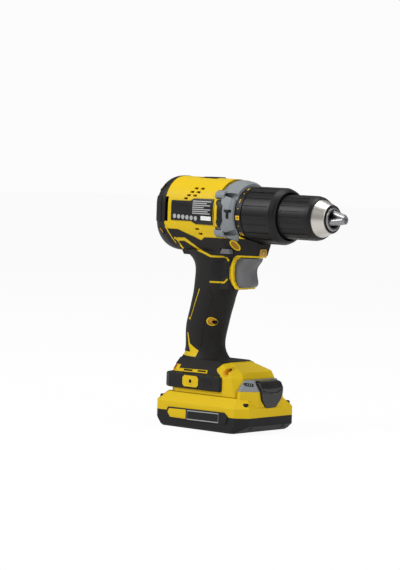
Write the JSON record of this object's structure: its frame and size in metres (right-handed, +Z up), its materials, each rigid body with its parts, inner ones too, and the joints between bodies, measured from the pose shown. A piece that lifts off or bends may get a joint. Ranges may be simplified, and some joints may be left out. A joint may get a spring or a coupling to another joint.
{
  "type": "cordless drill",
  "caption": "Pistol-grip cordless hammer drill driver with keyless chuck, torque collar, speed and direction selectors and a slide-on battery pack it stands on.",
  "frame": {"origin": "centre of the battery pack's base, on the surface that the tool stands on", "axes": "+X forward along the chuck, +Y to the left of the tool, +Z up"},
  "size_m": [0.1986, 0.0772, 0.2181],
  "materials": {
    "yellow_plastic": "satin moulded nylon, golden yellow",
    "black_rubber": "soft-touch overmould with a fine texture",
    "black_plastic": "fine matt moulded nylon",
    "collar_black": "satin moulded nylon",
    "label_black": "printed film over a plate",
    "grey_plastic": "matt moulded nylon, mid grey",
    "amber_lens": "clear amber-tinted lens",
    "brushed_metal": "turned and brushed",
    "bright_steel": "ground steel",
    "dark_steel": "black oxide",
    "zinc_steel": "zinc plated",
    "lamination_steel": "stacked laminations",
    "copper": "enamelled winding wire",
    "potting_grey": "potted electronics",
    "contact_brass": "tinned brass blades",
    "wire_insulation": "red and black PVC",
    "cell_metal": "shrink-wrapped cells",
    "board_green": "glass-fibre circuit board"
  },
  "bodies": {
    "drill": {"right_housing": "yellow_plastic", "left_housing": "yellow_plastic", "right_grip_cover": "black_rubber", "left_grip_cover": "black_rubber", "side_inserts": "black_plastic", "rear_cap": "black_plastic", "housing_screws": "dark_steel", "rating_plates": "label_black", "hook_inserts": "zinc_steel", "foot_band": "black_plastic", "light_lens": "amber_lens", "stator_core": "lamination_steel", "stator_coils": "copper", "bearings": "bright_steel", "motor_plate": "grey_plastic", "gear_case": "grey_plastic", "clutch_pins": "bright_steel", "fixed_ring_gear": "dark_steel", "fixed_ratchet": "dark_steel", "spring_washer": "bright_steel", "clutch_spring": "zinc_steel", "switch_module": "black_plastic", "trigger_spring": "zinc_steel", "controller_module": "potting_grey", "terminal_block": "black_plastic", "terminals": "contact_brass", "internal_wires": "wire_insulation"},
    "battery": {"pack_lower_case": "black_plastic", "pack_upper_case": "yellow_plastic", "latch_surround": "grey_plastic", "cells": "cell_metal", "pack_board": "board_green", "pack_screws": "dark_steel", "pack_side_plates": "black_plastic"},
    "release_button": {"release_button": "black_plastic"},
    "trigger": {"trigger": "grey_plastic"},
    "direction_selector": {"direction_selector": "grey_plastic"},
    "speed_selector": {"speed_selector": "black_plastic", "speed_ring_gear": "dark_steel"},
    "rotor": {"rotor_shaft": "bright_steel", "rotor_core": "lamination_steel", "cooling_fan": "black_plastic"},
    "first_carrier": {"first_carrier": "bright_steel"},
    "spindle": {"spindle": "bright_steel", "spindle_ratchet": "dark_steel", "chuck_body": "bright_steel"},
    "sleeve": {"chuck_sleeve": "collar_black", "nose_cone": "brushed_metal", "jaw_nut": "dark_steel"},
    "collar": {"torque_collar": "collar_black"},
    "clutch_nut": {"clutch_nut": "dark_steel"},
    "jaw_1": {"jaw_1": "bright_steel"},
    "jaw_2": {"jaw_2": "bright_steel"},
    "jaw_3": {"jaw_3": "bright_steel"},
    "planet_1_a": {"planet_1_a": "bright_steel"},
    "planet_1_b": {"planet_1_b": "bright_steel"},
    "planet_1_c": {"planet_1_c": "bright_steel"},
    "planet_2_a": {"planet_2_a": "bright_steel"},
    "planet_2_b": {"planet_2_b": "bright_steel"},
    "planet_2_c": {"planet_2_c": "bright_steel"}
  },
  "joints": [
    {"name": "rotor_spin", "type": "hinge", "parent": "drill", "child": "rotor", "pos_m": [-0.04, 0, 0.1868], "axis": [1, 0, 0], "continuous": true},
    {"name": "carrier_spin", "type": "hinge", "parent": "drill", "child": "first_carrier", "pos_m": [-0.007, 0, 0.1868], "axis": [1, 0, 0], "continuous": true},
    {"name": "spindle_spin", "type": "hinge", "parent": "drill", "child": "spindle", "pos_m": [0.03, 0, 0.1868], "axis": [1, 0, 0], "continuous": true},
    {"name": "planet_1_a_spin", "type": "hinge", "parent": "first_carrier", "child": "planet_1_a", "pos_m": [-0.0116, 0.012, 0.1868], "axis": [1, 0, 0], "continuous": true},
    {"name": "planet_1_b_spin", "type": "hinge", "parent": "first_carrier", "child": "planet_1_b", "pos_m": [-0.0116, -0.006, 0.19719], "axis": [1, 0, 0], "continuous": true},
    {"name": "planet_1_c_spin", "type": "hinge", "parent": "first_carrier", "child": "planet_1_c", "pos_m": [-0.0116, -0.006, 0.17641], "axis": [1, 0, 0], "continuous": true},
    {"name": "planet_2_a_spin", "type": "hinge", "parent": "spindle", "child": "planet_2_a", "pos_m": [0.0007, 0.012, 0.1868], "axis": [1, 0, 0], "continuous": true},
    {"name": "planet_2_b_spin", "type": "hinge", "parent": "spindle", "child": "planet_2_b", "pos_m": [0.0007, -0.006, 0.19719], "axis": [1, 0, 0], "continuous": true},
    {"name": "planet_2_c_spin", "type": "hinge", "parent": "spindle", "child": "planet_2_c", "pos_m": [0.0007, -0.006, 0.17641], "axis": [1, 0, 0], "continuous": true},
    {"name": "sleeve_turn", "type": "hinge", "parent": "spindle", "child": "sleeve", "pos_m": [0.09, 0, 0.1868], "axis": [1, 0, 0], "range_deg": [0, 1440]},
    {"name": "jaw_1_slide", "type": "slide", "parent": "spindle", "child": "jaw_1", "axis": [-0.9659, 0, 0.2588], "range_m": [0, 0.02174]},
    {"name": "jaw_2_slide", "type": "slide", "parent": "spindle", "child": "jaw_2", "axis": [-0.9659, -0.2241, -0.1294], "range_m": [0, 0.02174]},
    {"name": "jaw_3_slide", "type": "slide", "parent": "spindle", "child": "jaw_3", "axis": [-0.9659, 0.2241, -0.1294], "range_m": [0, 0.02174]},
    {"name": "collar_turn", "type": "hinge", "parent": "drill", "child": "collar", "pos_m": [0.045, 0, 0.1868], "axis": [1, 0, 0], "range_deg": [0, 288]},
    {"name": "clutch_nut_slide", "type": "slide", "parent": "collar", "child": "clutch_nut", "axis": [-1, 0, 0], "range_m": [0, 0.008], "deforming": ["clutch_spring"]},
    {"name": "trigger_pull", "type": "slide", "parent": "drill", "child": "trigger", "axis": [-1, 0, 0], "range_m": [0, 0.0065], "stiffness_N_per_m": 800, "springref_m": -0.0025, "deforming": ["trigger_spring"]},
    {"name": "direction_slide", "type": "slide", "parent": "drill", "child": "direction_selector", "axis": [0, 1, 0], "range_m": [-0.003, 0.003]},
    {"name": "speed_slide", "type": "slide", "parent": "drill", "child": "speed_selector", "axis": [-1, 0, 0], "range_m": [0, 0.005]},
    {"name": "battery_slide", "type": "slide", "parent": "drill", "child": "battery", "axis": [1, 0, 0], "range_m": [0, 0.09]},
    {"name": "release_press", "type": "slide", "parent": "battery", "child": "release_button", "axis": [-1, 0, 0], "range_m": [0, 0.003], "stiffness_N_per_m": 900, "springref_m": -0.0025}
  ],
  "couplings": [
    {"joint": "carrier_spin", "follows": "rotor_spin", "ratio": 0.2},
    {"joint": "spindle_spin", "follows": "rotor_spin", "ratio": 0.04},
    {"joint": "planet_1_a_spin", "follows": "rotor_spin", "ratio": -0.53333},
    {"joint": "planet_1_b_spin", "follows": "rotor_spin", "ratio": -0.53333},
    {"joint": "planet_1_c_spin", "follows": "rotor_spin", "ratio": -0.53333},
    {"joint": "planet_2_a_spin", "follows": "rotor_spin", "ratio": -0.10667},
    {"joint": "planet_2_b_spin", "follows": "rotor_spin", "ratio": -0.10667},
    {"joint": "planet_2_c_spin", "follows": "rotor_spin", "ratio": -0.10667},
    {"joint": "jaw_1_slide", "follows": "sleeve_turn", "m_per_rad": 0.000865},
    {"joint": "jaw_2_slide", "follows": "sleeve_turn", "m_per_rad": 0.000865},
    {"joint": "jaw_3_slide", "follows": "sleeve_turn", "m_per_rad": 0.000865},
    {"joint": "clutch_nut_slide", "follows": "collar_turn", "m_per_rad": 0.0015915}
  ]
}
